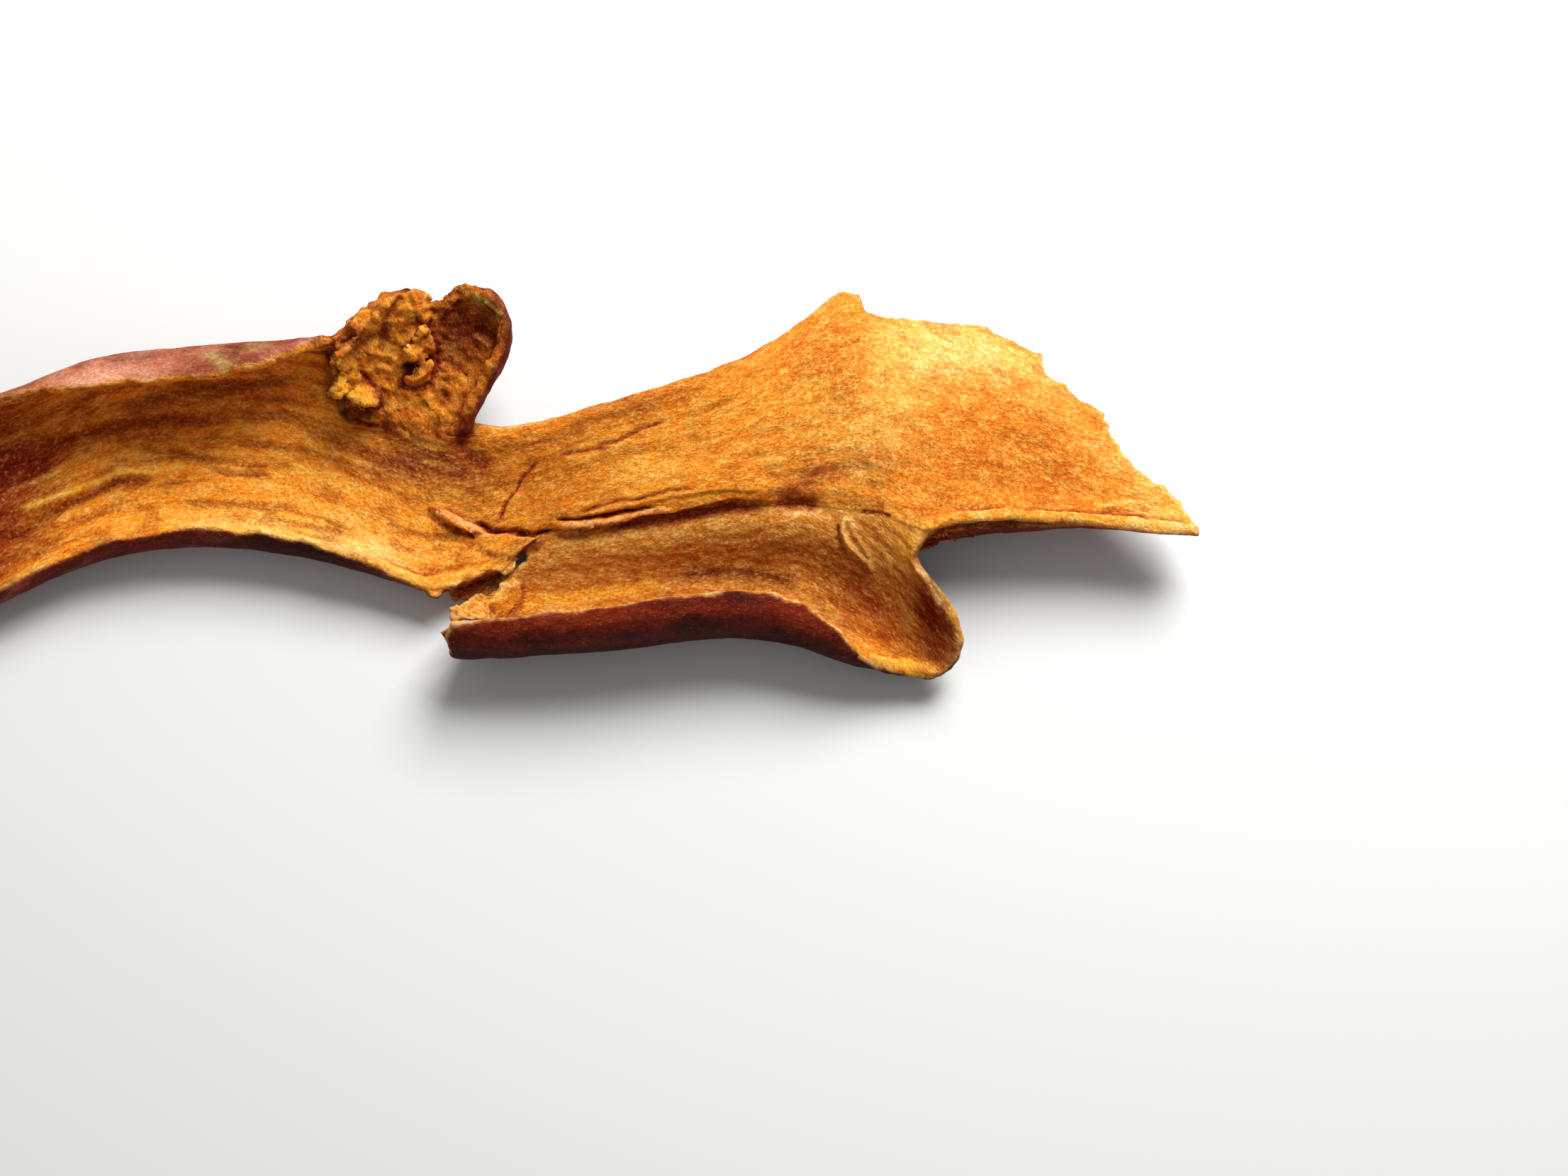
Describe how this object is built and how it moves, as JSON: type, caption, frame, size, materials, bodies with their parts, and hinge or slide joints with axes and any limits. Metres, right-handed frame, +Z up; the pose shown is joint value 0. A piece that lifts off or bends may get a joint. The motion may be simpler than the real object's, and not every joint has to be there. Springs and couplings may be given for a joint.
{
  "type": "dried drynaria rhizome",
  "caption": "Curled strip of dried fern rhizome cortex, with a folded lower flap, a torn fan at one end and the stub of a broken branch.",
  "frame": {"origin": "middle of the bounding box's base, on the surface that the rhizome rests on", "axes": "+X along the strip from its broken end to the torn fan, +Y towards the branch stub, +Z up from the surface"},
  "size_m": [0.11, 0.0336, 0.0104],
  "materials": {
    "cortex": "matt, fibrous ochre inner face and red-brown outer skin"
  },
  "bodies": {
    "root": {"rhizome": "cortex"}
  },
  "joints": []
}
